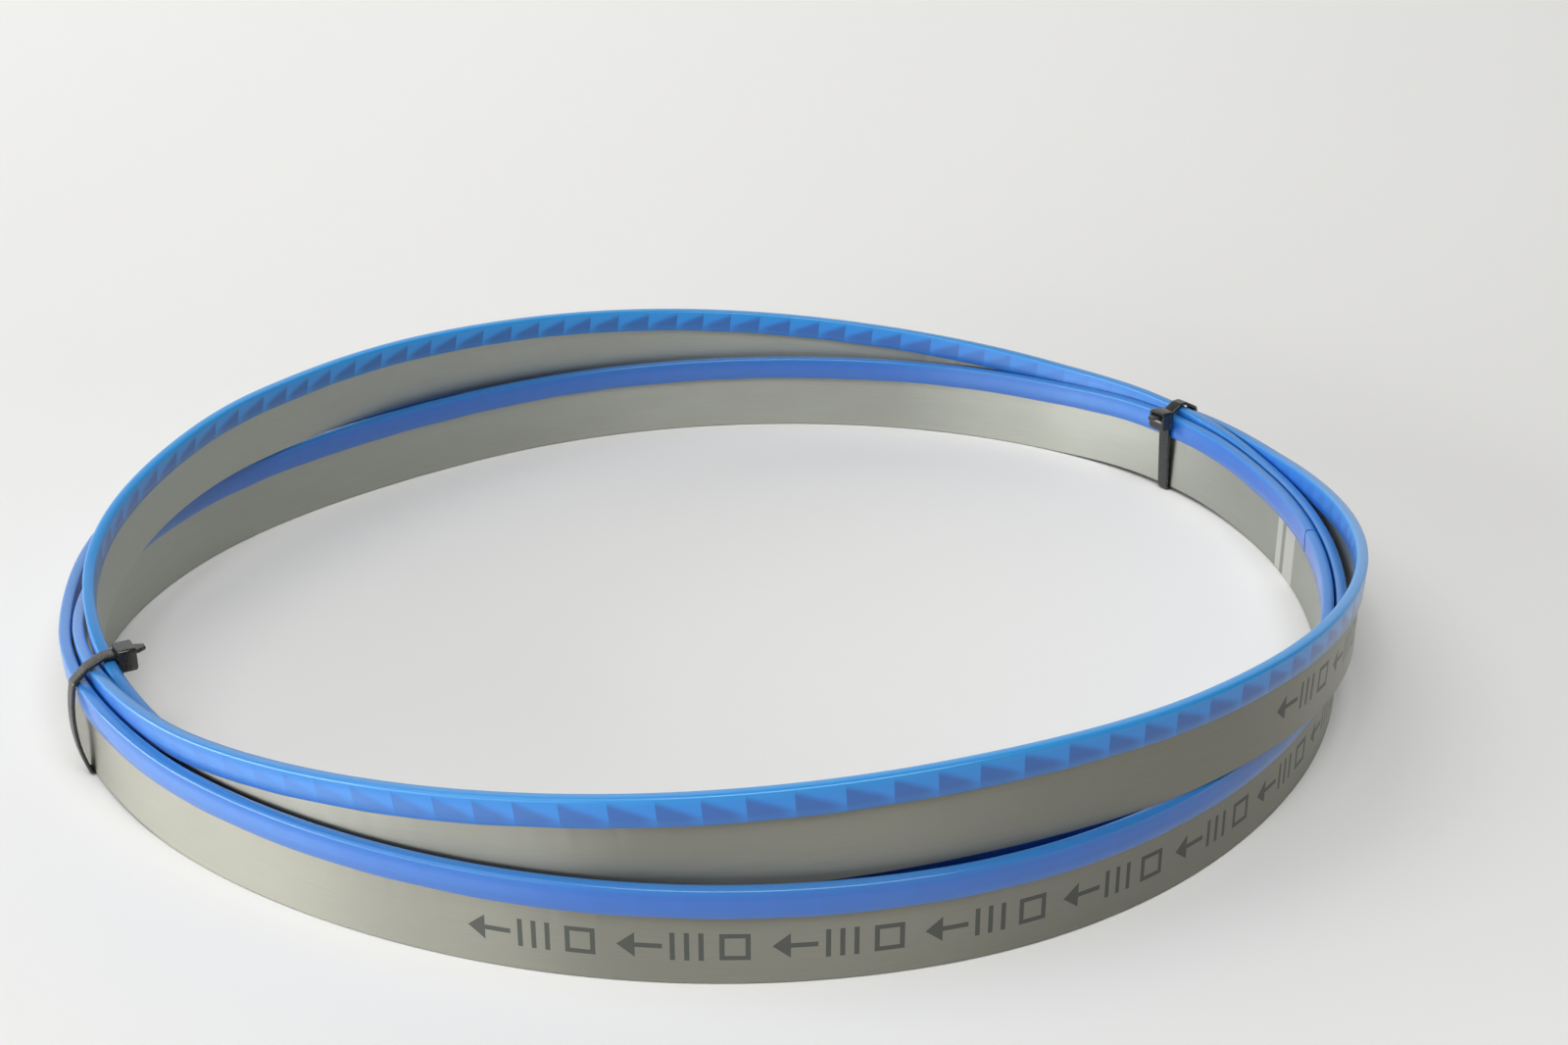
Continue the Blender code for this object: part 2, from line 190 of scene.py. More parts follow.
# %% [markdown]
# ## Grids to meshes
# Every surface here is a grid of points, rows by columns. If a direction is closed, its last line joins its
# first. The UV map is a grid too, one line longer where the direction is closed, so that a pattern runs
# through the seam without a jump.
# %% One function for every surface
def surface(name, points, uv, closed_rows=True, closed_columns=True, sharp_over=35.0, ends=False):
    """A quad mesh on a grid of points: quad (r, c) takes corners (r, c), (r+1, c), (r+1, c+1), (r, c+1)."""
    rows, columns = points.shape[:2]
    quad_rows, quad_columns = rows - (not closed_rows), columns - (not closed_columns)
    r, c = np.meshgrid(np.arange(quad_rows), np.arange(quad_columns), indexing="ij")
    corner_r, corner_c = np.stack([r, r + 1, r + 1, r], -1), np.stack([c, c, c + 1, c + 1], -1)
    quads = ((corner_r % rows) * columns + corner_c % columns).reshape(-1, 4)
    faces = quads.tolist()
    loops_uv = uv[corner_r, corner_c].reshape(-1, 2)
    if ends:
        first, last = np.arange(columns), np.arange((rows - 1) * columns, rows * columns)
        faces += [first.tolist(), last[::-1].tolist()]
        loops_uv = np.concatenate([loops_uv, uv[0, :columns], uv[rows - 1, :columns][::-1]])
    mesh = bpy.data.meshes.new(name)
    mesh.from_pydata(points.reshape(-1, 3), [], faces)
    mesh.uv_layers.new(name="UVMap").data.foreach_set("uv", loops_uv.astype(np.float32).ravel())
    shape = bmesh.new()
    shape.from_mesh(mesh)
    bmesh.ops.recalc_face_normals(shape, faces=shape.faces)
    shape.to_mesh(mesh)
    shape.free()
    mesh.shade_smooth()
    mesh.set_sharp_from_angle(angle=math.radians(sharp_over))
    made = bpy.data.objects.new(name, mesh)
    bpy.context.scene.collection.objects.link(made)
    print(name, len(mesh.vertices), "vertices", len(mesh.polygons), "faces")
    return made


def show(piece, cad_node, material):
    """The piece takes the place of a CAD node, rides with the part, and wears this material."""
    piece.data.materials.append(material)
    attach(piece, "root")
    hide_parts(cad_node)


# %% [markdown]
# ## The blade's teeth
# A bimetal blade has raked teeth with round gullets, and its pitches vary so that it doesn't sing in the
# cut: five pitches are repeated round the loop. Four of five teeth are bent a little sideways, the set. The
# outline of one tooth is ten points: the tip, the foot of the rake face, a Bezier curve through the gullet,
# and the straight back up to the next tip.
# %% Outline of the teeth
TOOTH_PITCHES = np.array([0.0106, 0.0110, 0.0117, 0.0123, 0.0117])
TOOTH_SIDES = np.array([0, 1, -1, 1, -1])
TOOTH_DEPTH, TOOTH_SET, RAKE = 0.0048, 0.00035, math.radians(10)

groups = round(BAND_LENGTH / TOOTH_PITCHES.sum())
pitch = np.tile(TOOTH_PITCHES, groups)
pitch *= BAND_LENGTH / pitch.sum()
tips = np.cumsum(pitch) - pitch[0]
pitch = np.roll(pitch, -1)
sides = np.tile(TOOTH_SIDES, groups)


def tooth_outline(pitch):
    """Ten outline points of each tooth as distance past its tip and drop below it: an array (tooth, 10)."""
    foot = np.array([-0.6 * TOOTH_DEPTH * math.tan(RAKE), 0.6 * TOOTH_DEPTH])
    t = np.linspace(0, 1, 7)[1:]
    weights = np.stack([(1 - t) ** 3, 3 * t * (1 - t) ** 2, 3 * t * t * (1 - t), t ** 3])
    gullet_x = (weights[0] * foot[0] + weights[1] * 1.6 * foot[0]
                + (weights[2] * 0.12 + weights[3] * 0.30) * pitch[:, None])
    gullet_y = (weights * np.array([0.60, 1.08, 1.13, 0.80])[:, None]).sum(0) * TOOTH_DEPTH
    back = np.array([1 / 3, 2 / 3])
    ones = np.ones((len(pitch), 1))
    x = np.concatenate([0 * ones, foot[0] * ones, gullet_x, (0.30 + 0.70 * back) * pitch[:, None]], 1)
    y = np.concatenate([0 * ones, foot[1] * ones, gullet_y * ones, 0.80 * TOOTH_DEPTH * (1 - back) * ones], 1)
    return x, y


tooth_x, tooth_drop = tooth_outline(pitch)
print(len(tips), "teeth, mean pitch", round(1000 * pitch.mean(), 2), "mm")

# %% [markdown]
# ## The blade's surface
# Ten columns of points stand under each tooth. The upper end of a column is on the tooth's outline, and
# its lower points are spread evenly, which keeps the columns from crossing under the hooked tip. One ring
# of points goes up the outer face, over the teeth, and down the inner face to the back edge.
# %% Build the blade
BACK_EDGE_RADIUS, LOWER_ROW, UPPER_ROW = 0.00015, 0.011, BAND_WIDTH - TOOTH_DEPTH - 0.0007


def blade_grid():
    """Points (column, ring place) from (along, across, up), with the set growing towards the tip."""
    spread = tips[:, None] + (np.arange(10) / 10 - 0.15) * pitch[:, None]
    outline = (tips[:, None] + tooth_x).ravel()
    drop = tooth_drop.ravel()
    base = spread.ravel()
    bend = np.repeat(sides, 10) * TOOTH_SET * np.clip(1 - drop / TOOTH_DEPTH, 0, 1) ** 1.3
    half, edge = BAND_THICKNESS / 2, BACK_EDGE_RADIUS
    low = np.full_like(base, 1.0)
    face = [(base, low * (half - edge), low * 0),
            (base, low * half, low * edge),
            (base, low * half, low * LOWER_ROW),
            (base, low * half, low * UPPER_ROW),
            (outline, half + bend, BAND_WIDTH - drop)]
    back = [(along, 2 * bent - across, up) for (along, across, up), bent in zip(face, (0, 0, 0, 0, bend))]
    ring = face + back[::-1]
    along, across, up = (np.stack([place[k] for place in ring], 1) for k in range(3))
    points = wound(along, across, up)
    middle = (along + BAND_LENGTH / 2) % BAND_LENGTH - BAND_LENGTH / 2
    order = np.argsort(middle[:, 3], kind="stable")
    sign = np.array([1] * 5 + [-1] * 5)
    uv = np.stack([middle, up * sign], -1)[order]
    start = uv[:, 3:4, 0]
    uv[..., 0] = start + (uv[..., 0] - start + BAND_LENGTH / 2) % BAND_LENGTH - BAND_LENGTH / 2
    seam = uv[:1] + [BAND_LENGTH, 0]
    uv = np.concatenate([uv, seam])
    return points[order], np.concatenate([uv, uv[:, :1]], 1)


blade_points, blade_uv = blade_grid()
blade = surface("blade", blade_points, blade_uv, sharp_over=30)

# %% [markdown]
# ## Steel
# The band is cold-rolled spring steel, cleaned by fine lengthwise brushing. To the eye that is a soft grey
# with a slight warm green cast, with streaks that run along the band, and with highlights that are drawn out
# across them, so the shader is anisotropic: it is rough across the streaks and smooth along them, and it
# shows the light of one side of the room at each place. The photograph shows the inner face brighter than
# these lamps make it, so the inner face's colours are painted paler than the outer face's to match it. That
# paleness is painted light, not a colour of the steel.
# %% Steel material
steel, tree, steel_shader = new_material("brushed spring steel")
place = node(tree, "ShaderNodeSeparateXYZ", {0: node(tree, "ShaderNodeUVMap", uv_map="UVMap").outputs[0]})
ALONG, UP = place.outputs[0], place.outputs[1]


def streaks(tree, along_mm, across_mm, detail):
    """Noise on the UV map, stretched: its grain is along_mm long and across_mm wide."""
    scaled = node(tree, "ShaderNodeCombineXYZ", (
        node(tree, MATH, (ALONG, 1000 / along_mm), operation="MULTIPLY"),
        node(tree, MATH, (UP, 1000 / across_mm), operation="MULTIPLY")))
    noise = node(tree, "ShaderNodeTexNoise", {"Vector": scaled.outputs[0], "Scale": 1.0, "Detail": detail})
    return noise.outputs[0]


brushing = streaks(tree, 22, 0.25, 3.0)
clouds = streaks(tree, 30, 9, 2.0)
# Painted light: the inner face's steel colours are paler than the outer face's, a painted brightness.
outer_face = node(tree, MATH, (UP, 0.0), operation="GREATER_THAN")
inner_steel_painted_paler = node(tree, MIX, {0: brushing, 6: linear("#AEB0A7"), 7: linear("#C3C6BE")},
                   data_type="RGBA").outputs[2]
outer_steel = node(tree, MIX, {0: brushing, 6: linear("#8E8E85"), 7: linear("#A1A198")},
                   data_type="RGBA").outputs[2]
steel_colour = node(tree, MIX, {0: outer_face, 6: inner_steel_painted_paler, 7: outer_steel}, data_type="RGBA").outputs[2]
cloud_share = node(tree, MATH, (clouds, 0.3), operation="MULTIPLY")
steel_colour = node(tree, MIX, {0: cloud_share, 6: steel_colour, 7: linear("#A09F90")},
                    data_type="RGBA").outputs[2]

# %% [markdown]
# ## Weld and print
# Both are masks worked out from the distance along the band. At the butt weld the band is ground bright, in
# two strips 4.4 and 9.4 mm wide, with a darker line between them. The print is a row of plain signs, 39 mm
# apart, on the outer face only: an arrow that points the way the teeth do, three bars and a square.
# Distances become millimetres first, so that every number is a real size.
# %% Weld and print masks
along_mm = node(tree, MATH, (ALONG, 1000.0), operation="MULTIPLY")
up_mm = node(tree, MATH, (UP, 1000.0), operation="MULTIPLY")


def between(value, low, high):
    """1 where the value lies between two limits."""
    over = node(tree, MATH, (value, low), operation="GREATER_THAN")
    under = node(tree, MATH, (value, high), operation="LESS_THAN")
    return node(tree, MATH, (over, under), operation="MULTIPLY")


def away(value, middle):
    """How far the value lies from a middle, to either side."""
    return node(tree, MATH, (node(tree, MATH, (value, middle), operation="SUBTRACT"),), operation="ABSOLUTE")


FIRST_STRIP, SECOND_STRIP, DARK_LINE = (-4.4, 0.0), (3.3, 12.7), 1.65
strips = between(along_mm, *FIRST_STRIP), between(along_mm, *SECOND_STRIP)
ground = node(tree, MATH, strips, operation="ADD")
blued = node(tree, MATH, (1.0, away(along_mm, DARK_LINE)), operation="SUBTRACT", use_clamp=True)
ground_share = node(tree, MATH, (ground, 0.8), operation="MULTIPLY")
steel_colour = node(tree, MIX, {0: ground_share, 6: steel_colour, 7: linear("#E9E8E2")},
                    data_type="RGBA").outputs[2]
blued_share = node(tree, MATH, (blued, 0.3), operation="MULTIPLY")
steel_colour = node(tree, MIX, {0: blued_share, 6: steel_colour, 7: linear("#5B574C")},
                    data_type="RGBA").outputs[2]

PRINT_END, PRINT_REPEAT, PRINT_RUN = along_of(2.055) * 1000, 1025.0, 351.0
MOTIF, MOTIF_UP = 39.0, 11.0
HEAD_FROM, HEAD_TO, HEAD_SLOPE = 1.0, 5.6, 0.8
SHAFT_FROM, SHAFT_TO, SHAFT_HALF = 5.5, 12.5, 0.7
BARS_FROM, BARS_TO, BAR_PITCH, BAR_WIDE, BAR_HALF = 14.4, 23.4, 3.6, 1.3, 4.1
SQUARE_AT, SQUARE_INSIDE, SQUARE_OUTSIDE = 30.7, 2.6, 3.9
round_mm = node(tree, MATH, (along_mm, BAND_LENGTH * 1000), operation="FLOORED_MODULO")
before_end = node(tree, MATH, (PRINT_END, round_mm), operation="SUBTRACT")
before_end = node(tree, MATH, (before_end, PRINT_REPEAT), operation="FLOORED_MODULO")
in_run = node(tree, MATH, (before_end, PRINT_RUN), operation="LESS_THAN")
motif_x = node(tree, MATH, (before_end, MOTIF), operation="FLOORED_MODULO")
motif_y = away(up_mm, MOTIF_UP)
from_point = node(tree, MATH, (motif_x, HEAD_FROM), operation="SUBTRACT")
head_half = node(tree, MATH, (from_point, HEAD_SLOPE), operation="MULTIPLY")
in_head = node(tree, MATH, (motif_y, head_half), operation="LESS_THAN")
arrow_head = node(tree, MATH, (between(motif_x, HEAD_FROM, HEAD_TO), in_head), operation="MULTIPLY")
in_shaft = node(tree, MATH, (motif_y, SHAFT_HALF), operation="LESS_THAN")
shaft = node(tree, MATH, (between(motif_x, SHAFT_FROM, SHAFT_TO), in_shaft), operation="MULTIPLY")
into_bar = node(tree, MATH, (motif_x, BAR_PITCH), operation="FLOORED_MODULO")
bar = node(tree, MATH, (into_bar, BAR_WIDE), operation="LESS_THAN")
in_height = node(tree, MATH, (motif_y, BAR_HALF), operation="LESS_THAN")
bar = node(tree, MATH, (bar, in_height), operation="MULTIPLY")
bars = node(tree, MATH, (bar, between(motif_x, BARS_FROM, BARS_TO)), operation="MULTIPLY")
from_middle = node(tree, MATH, (away(motif_x, SQUARE_AT), motif_y), operation="MAXIMUM")
square = between(from_middle, SQUARE_INSIDE, SQUARE_OUTSIDE)
arrow = node(tree, MATH, (arrow_head, shaft), operation="MAXIMUM")
bars_and_square = node(tree, MATH, (bars, square), operation="MAXIMUM")
ink = node(tree, MATH, (arrow, bars_and_square), operation="MAXIMUM")
ink = node(tree, MATH, (ink, in_run), operation="MULTIPLY")
ink_share = node(tree, MATH, (ink, 0.85), operation="MULTIPLY")
steel_colour = node(tree, MIX, {0: ink_share, 6: steel_colour, 7: linear("#3B3F3C")},
                    data_type="RGBA").outputs[2]

# %% [markdown]
# ## The finished steel
# The shader's fixed values sit on its own sockets. Only colour, roughness, metal and bump vary over the band.
# A bump that only slopes tilts the outer face's shading back by 5 degrees. That angle was matched to how the
# face looks, and it turns the face's highlights up towards the low windows.
# %% Finish the steel
OUTER_TILT = 0.001 * math.tan(math.radians(5))
steel_shader.inputs["Anisotropic"].default_value = 0.80
steel_shader.inputs["Anisotropic Rotation"].default_value = 0.25
tree.links.new(steel_colour, steel_shader.inputs["Base Color"])
bare = node(tree, MATH, (ink, -0.7, 1.0), operation="MULTIPLY_ADD")
tree.links.new(bare.outputs[0], steel_shader.inputs["Metallic"])
roughness = node(tree, MATH, (brushing, 0.10, 0.40), operation="MULTIPLY_ADD")
tree.links.new(roughness.outputs[0], steel_shader.inputs["Roughness"])
falling = node(tree, MATH, (node(tree, MATH, (up_mm, 0.0), operation="MAXIMUM"), -1.0), operation="MULTIPLY")
tilt = node(tree, "ShaderNodeBump", {"Height": falling, "Strength": 1.0, "Distance": OUTER_TILT})
bump = node(tree, "ShaderNodeBump", {"Height": brushing, "Strength": 0.25, "Distance": 0.00002,
                                     "Normal": tilt.outputs[0]})
tree.links.new(bump.outputs[0], steel_shader.inputs["Normal"])
tangent = node(tree, "ShaderNodeTangent", direction_type="UV_MAP", uv_map="UVMap")
tree.links.new(tangent.outputs[0], steel_shader.inputs["Tangent"])
show(blade, "blade_band", steel)
print("print signs every", MOTIF, "mm, ground weld strips 4.4 and 9.4 mm wide")

# %% [markdown]
# ## The tooth guard
# The guard is a U-shaped strip, extruded in a soft plastic and pushed over the teeth. Its section is a closed
# ring of points: round crown outside, a narrow slot inside, and rounded lips. The section is carried along
# the band in small steps, and its two ends are closed where they meet near the weld.
# %% Build the guard
CROWN, GUARD_HEIGHT, GUARD_ROOF = 0.0284, 0.0085, 0.0011
CROWN_HALF, CROWN_RISE, LIP_HALF, LIP_RADIUS = 0.00176, 0.0010, 0.0015, 0.0002
MOUTH_HALF, SLOT_HALF, SLOT_ROOF_HALF, SLOT_SHOULDER = 0.00078, 0.00106, 0.0009, 0.002
HALF_GAP, GUARD_STATIONS = 0.0005, 1224


def guard_section():
    """A ring of (across, up): up the outside, round the crown on a superellipse, down, and up the slot."""
    bottom, roof = CROWN - GUARD_HEIGHT, CROWN - GUARD_ROOF
    turn = np.linspace(0, np.pi, 13)
    crown = np.stack([CROWN_HALF * np.sign(np.cos(turn)) * np.abs(np.cos(turn)) ** 0.6,
                      CROWN - CROWN_RISE + CROWN_RISE * np.sin(turn) ** 0.75], 1)
    outer = np.array([[MOUTH_HALF, bottom + LIP_RADIUS], [MOUTH_HALF + 0.00017, bottom],
                      [LIP_HALF - LIP_RADIUS, bottom], [LIP_HALF, bottom + LIP_RADIUS],
                      [LIP_HALF + 0.0001, bottom + 0.003]])
    slot = np.array([[-SLOT_HALF, roof - SLOT_SHOULDER], [-SLOT_ROOF_HALF, roof],
                     [SLOT_ROOF_HALF, roof], [SLOT_HALF, roof - SLOT_SHOULDER]])
    return np.concatenate([outer, crown, outer[::-1] * [-1, 1], slot])


def guard_grid():
    """The section at every 3 mm, with its lips waving by a tenth of a millimetre as extruded strip does."""
    along = np.linspace(HALF_GAP, BAND_LENGTH - HALF_GAP, GUARD_STATIONS) + along_of(GUARD_JOINT_AT)
    section = guard_section()
    across, up = (np.broadcast_to(section[:, k], (GUARD_STATIONS, len(section))) for k in range(2))
    lip_share = np.clip((CROWN - up) / GUARD_HEIGHT, 0, 1) ** 3
    wave = 0.00010 * (np.sin(along * 61) + np.sin(along * 149 + 1))[:, None]
    points = wound(np.broadcast_to(along[:, None], across.shape), across, up + np.abs(wave) * lip_share)
    count = np.interp(along % BAND_LENGTH, np.append(tips, BAND_LENGTH + tips[0]), np.arange(len(tips) + 1))
    count += np.where(along >= BAND_LENGTH, len(tips), 0)
    uv = np.stack(np.broadcast_arrays(count[:, None], (CROWN - up) * 1000), -1)
    return points, np.concatenate([uv, uv[:, :1]], 1)


guard_points, guard_uv = guard_grid()
guard = surface("guard", guard_points, guard_uv, closed_rows=False, ends=True, sharp_over=50)
lift_share = np.clip(guard_points[..., 2].max(1) - CROWN, 0, HOP_HEIGHT) / HOP_HEIGHT
behind = lift_share * (0.75 + 0.25 * np.clip(guard_points[..., 1].mean(1) / 0.1, -1, 1))
painted = guard.data.attributes.new("light_behind", "FLOAT", "POINT")
painted.data.foreach_set("value", np.repeat(behind, guard_points.shape[1]))
print("light comes from behind over", round(float((behind > 0.3).mean()), 2), "of the guard's length")

# %% [markdown]
# ## Guard plastic
# The strip is soft polyethylene, dyed blue and see-through. Three things are seen in it. Its solid crown is
# painted pale and cyan. That is painted light, the glow of light through the crown, and it is paler still
# where light comes from behind. Its walls are a deep blue with the shine of the steel band behind them, so a
# part of the shader is brushed metal. And where a strand is lifted clear of the others, light comes from
# behind: there the walls are painted a paler blue, the gaps between the teeth are painted paler still, and the
# teeth show as soft dark triangles, a painted shadow. This is painted light and shade: an attribute says how
# far a place is lifted, and the colours follow it. The shader lets only a little light through by itself. The
# UV map counts teeth in one direction and gives millimetres below the crown in the other. A bump that only
# slopes tilts the walls' shading by 9 degrees, matched like the steel's.
# %% Guard material
WALL_TILT, STEEL_SEEN = 0.001 * math.tan(math.radians(9)), 0.19
plastic, tree, shader = new_material("blue polyethylene strip")
place = node(tree, "ShaderNodeSeparateXYZ", {0: node(tree, "ShaderNodeUVMap", uv_map="UVMap").outputs[0]})
tooth_count, below = place.outputs[0], place.outputs[1]
light_behind = node(tree, "ShaderNodeAttribute", attribute_name="light_behind").outputs["Fac"]
# Painted shadow: the teeth behind the walls are drawn as soft dark triangles.
phase = node(tree, MATH, (tooth_count,), operation="FRACT")
edge = node(tree, MATH, (phase, -4.8, 6.2), operation="MULTIPLY_ADD")
past_edge = node(tree, MATH, (below, edge), operation="SUBTRACT")
inside = node(tree, RANGE, (past_edge, -1.2, 1.3), interpolation_type="SMOOTHSTEP")
raked = node(tree, RANGE, (phase, -0.1, 0.40), interpolation_type="SMOOTHSTEP")
tooth = node(tree, MATH, (inside, raked), operation="MULTIPLY")
low_down = node(tree, RANGE, (below, 5.8, 8.2), interpolation_type="SMOOTHSTEP")
fading = node(tree, MATH, (low_down, -0.5, 1.0), operation="MULTIPLY_ADD")
tooth = node(tree, MATH, (tooth, fading), operation="MULTIPLY")
lit = node(tree, RANGE, (light_behind, 0.12, 0.42), interpolation_type="SMOOTHSTEP")
see_teeth = node(tree, MATH, (lit, 0.62, 0.08), operation="MULTIPLY_ADD")
outside = node(tree, MATH, (1.0, inside), operation="SUBTRACT")
painted_pocket_light = node(tree, MATH, (outside, light_behind), operation="MULTIPLY")
# Painted light: the crown is painted paler than the walls, and crown and walls are painted paler where light
# comes from behind.
crown = node(tree, MIX, {0: light_behind, 6: linear("#3480CC"), 7: linear("#3CAAE0")},
             data_type="RGBA").outputs[2]
wall = node(tree, MIX, {0: light_behind, 6: linear("#1260D0"), 7: linear("#209CF0")},
            data_type="RGBA").outputs[2]
down_the_wall = node(tree, RANGE, (below, 0.2, 3.2), interpolation_type="SMOOTHSTEP")
plastic_colour_and_painted_light = node(tree, MIX, {0: down_the_wall, 6: crown, 7: wall}, data_type="RGBA").outputs[2]
# Painted light: the gaps between the teeth are painted paler where light comes from behind.
painted_pocket_light_share = node(tree, MATH, (painted_pocket_light, 0.7), operation="MULTIPLY")
plastic_colour_and_painted_light = node(tree, MIX, {0: painted_pocket_light_share, 6: plastic_colour_and_painted_light, 7: linear("#2298F0")},
                      data_type="RGBA").outputs[2]
# Painted shadow of the teeth, stronger where light comes from behind.
shadow = node(tree, MATH, (tooth, see_teeth), operation="MULTIPLY")
shadow = node(tree, MATH, (shadow, 0.85), operation="MULTIPLY")
plastic_colour_and_painted_light = node(tree, MIX, {0: shadow, 6: plastic_colour_and_painted_light, 7: linear("#203490")},
                      data_type="RGBA").outputs[2]
tree.links.new(plastic_colour_and_painted_light, shader.inputs["Base Color"])
shader.inputs["Roughness"].default_value = 0.32
shader.inputs["Transmission Weight"].default_value = 0.15
shader.inputs["Specular IOR Level"].default_value = 0.35
shader.inputs["Coat Weight"].default_value = 0.5
shader.inputs["Coat Roughness"].default_value = 0.14
tilt = node(tree, "ShaderNodeBump", {"Height": below, "Strength": 1.0, "Distance": WALL_TILT})
tree.links.new(tilt.outputs[0], shader.inputs["Normal"])
tangent = node(tree, "ShaderNodeTangent", direction_type="UV_MAP", uv_map="UVMap")
band_seen = node(tree, "ShaderNodeBsdfPrincipled", {
    "Base Color": linear("#98C4D4"), "Metallic": 1.0, "Roughness": 0.44, "Anisotropic": 0.8,
    "Anisotropic Rotation": 0.25, "Normal": tilt.outputs[0], "Tangent": tangent.outputs[0]})
unlit = node(tree, MATH, (1.0, light_behind), operation="SUBTRACT")
under_crown = node(tree, RANGE, (below, 0.9, 3.6), interpolation_type="SMOOTHSTEP")
steel_share = node(tree, MATH, (unlit, STEEL_SEEN), operation="MULTIPLY")
steel_share = node(tree, MATH, (under_crown, steel_share), operation="MULTIPLY")
both = node(tree, "ShaderNodeMixShader", {0: steel_share, 1: shader.outputs[0], 2: band_seen.outputs[0]})
tree.links.new(both.outputs[0], tree.nodes["Material Output"].inputs["Surface"])
show(guard, "tooth_guard", plastic)

# %% [markdown]
# ## The lines of the cable ties
# A cable tie is moulded in one piece of nylon: a strap, and a head with a window that the strap's other end
# passes through. Seen along the strands, the strap bends at the corners that stand out. For each direction
# the corner that lies furthest that way is found, and the strap's middle runs TIE_OFF outside it. Going
# through all the directions gives the whole line round the strands. The snug tie follows that line. The
# slack one leaves it at the bottom, hangs out in an arc of a circle and comes back to it at the crowns. Past
# the crowns the strap runs level through the window, and its cut tail stands out behind the head.
# %% Lines of the cable ties
TIE_WIDTH, TIE_THICKNESS, TIE_TAIL, TIE_CLEARANCE, LEFT_SLACK = 0.0048, 0.0012, 0.0027, 0.0003, 0.0021
TIE_OFF = TIE_CLEARANCE + TIE_THICKNESS / 2
HEAD_LENGTH, HEAD_WIDTH, HEAD_HEIGHT = 0.0052, 0.0074, 0.0072
STRIP_HALF, STRIP_ROUND, STRIP_LIP = 0.0019, 0.0008, 0.00155


def tie_frame(turn):
    """The floor point under a tie, the direction out of the coil and the direction along the strands."""
    point, outward, _ = strand_frame(np.array(float(turn)))
    return point * [1, 1, 0], outward, np.cross(outward, (0.0, 0.0, 1.0))


def strand_corners(turn):
    """(out, up) of the corners of the three guarded strands, under the middle and both edges of the head."""
    origin, outward, forward = tie_frame(turn)
    bevel = np.radians([0, 45, 90])
    across = np.append([BAND_THICKNESS / 2, STRIP_LIP], STRIP_HALF - STRIP_ROUND * (1 - np.cos(bevel)))
    up = np.append([0, CROWN - GUARD_HEIGHT], CROWN - STRIP_ROUND * (1 - np.sin(bevel)))
    corners = []
    for strand in range(TURNS):
        lean = strand_frame(np.array(float(turn + strand)))[2] @ forward
        for edge in (-HEAD_WIDTH / 2, 0, HEAD_WIDTH / 2):
            for side in (-1, 1):
                place = wound(along_of(turn + strand) + edge - up * lean, side * across, up) - origin
                corners.append(np.stack([place @ outward, place[:, 2]], 1))
    return np.concatenate(corners)


def around(corners, start, end):
    """For headings from start to end in degrees: the corner furthest that way, plus TIE_OFF that way."""
    heading = np.radians(np.linspace(start, end, 1 + round((end - start) / 5)))
    facing = np.stack([np.cos(heading), np.sin(heading)], 1)
    return corners[(facing @ corners.T).argmax(1)] + TIE_OFF * facing


def hanging_arc(start, end, rise):
    """Points on the arc of a circle from start to end that stands out by rise in the middle."""
    ahead = (end - start) / np.linalg.norm(end - start)
    side, half = np.array([ahead[1], -ahead[0]]), np.linalg.norm(end - start) / 2
    radius = (half ** 2 + rise ** 2) / (2 * rise)
    reach = math.atan2(half, radius - rise)
    angle = np.linspace(-reach, reach, 13)[1:-1, None]
    centre = (start + end) / 2 + side * (rise - radius)
    return centre + radius * (np.cos(angle) * side + np.sin(angle) * ahead)


def tie_line(turn, slack):
    """The strap's middle line as (out, up), the near face of the head, and the height of its window."""
    corners = strand_corners(turn)
    line = around(corners, -180, 135)
    if slack:
        leave = math.degrees(2 * math.atan(2 * slack / CROWN))
        below = around(corners[corners[:, 1] < CROWN / 3], -180, -leave)
        above = around(corners[corners[:, 1] > CROWN + TIE_SEAT - STRIP_ROUND / 2], leave, 135)
        line = np.concatenate([below, hanging_arc(below[-1], above[0], slack), above])
    crown_up = corners[(corners @ [-1, 1]).argmax(), 1]
    root, window = crown_up - HEAD_HEIGHT / 2, crown_up + TIE_OFF
    line = line[np.argmax(line[:, 1] < root):]
    highest = line[:, 1].argmax()
    line[highest:, 1] = np.maximum(line[highest:, 1], window)
    inner = corners[:, 0].min()
    tail_end = inner - TIE_OFF - HEAD_LENGTH - TIE_TAIL
    line = np.concatenate([[[inner - TIE_OFF, root]], line, [[tail_end, window]]])
    walked = lengths(line)
    stations = np.unique(np.round(np.append(walked, np.arange(0, walked[-1], 0.0005)), 6))
    line = np.stack([np.interp(stations, walked, line[:, axis]) for axis in (0, 1)], 1)
    return line, inner - TIE_CLEARANCE, window


left_line, left_near, left_window = tie_line(LEFT_TIE_AT, LEFT_SLACK)
rear_line, rear_near, rear_window = tie_line(REAR_TIE_AT, 0)
print("straps, mm:", round(lengths(left_line)[-1] * 1000), "and", round(lengths(rear_line)[-1] * 1000))

# %% [markdown]
# ## Straps
# A strap is a rounded rectangle carried along its line, with shallow notches across its outer side.
# %% Build the straps
NOTCH_DEPTH, NOTCH_PITCH, NOTCH_HALF, TIP_LENGTH = 0.00012, 0.0011, 0.0016, 0.0022


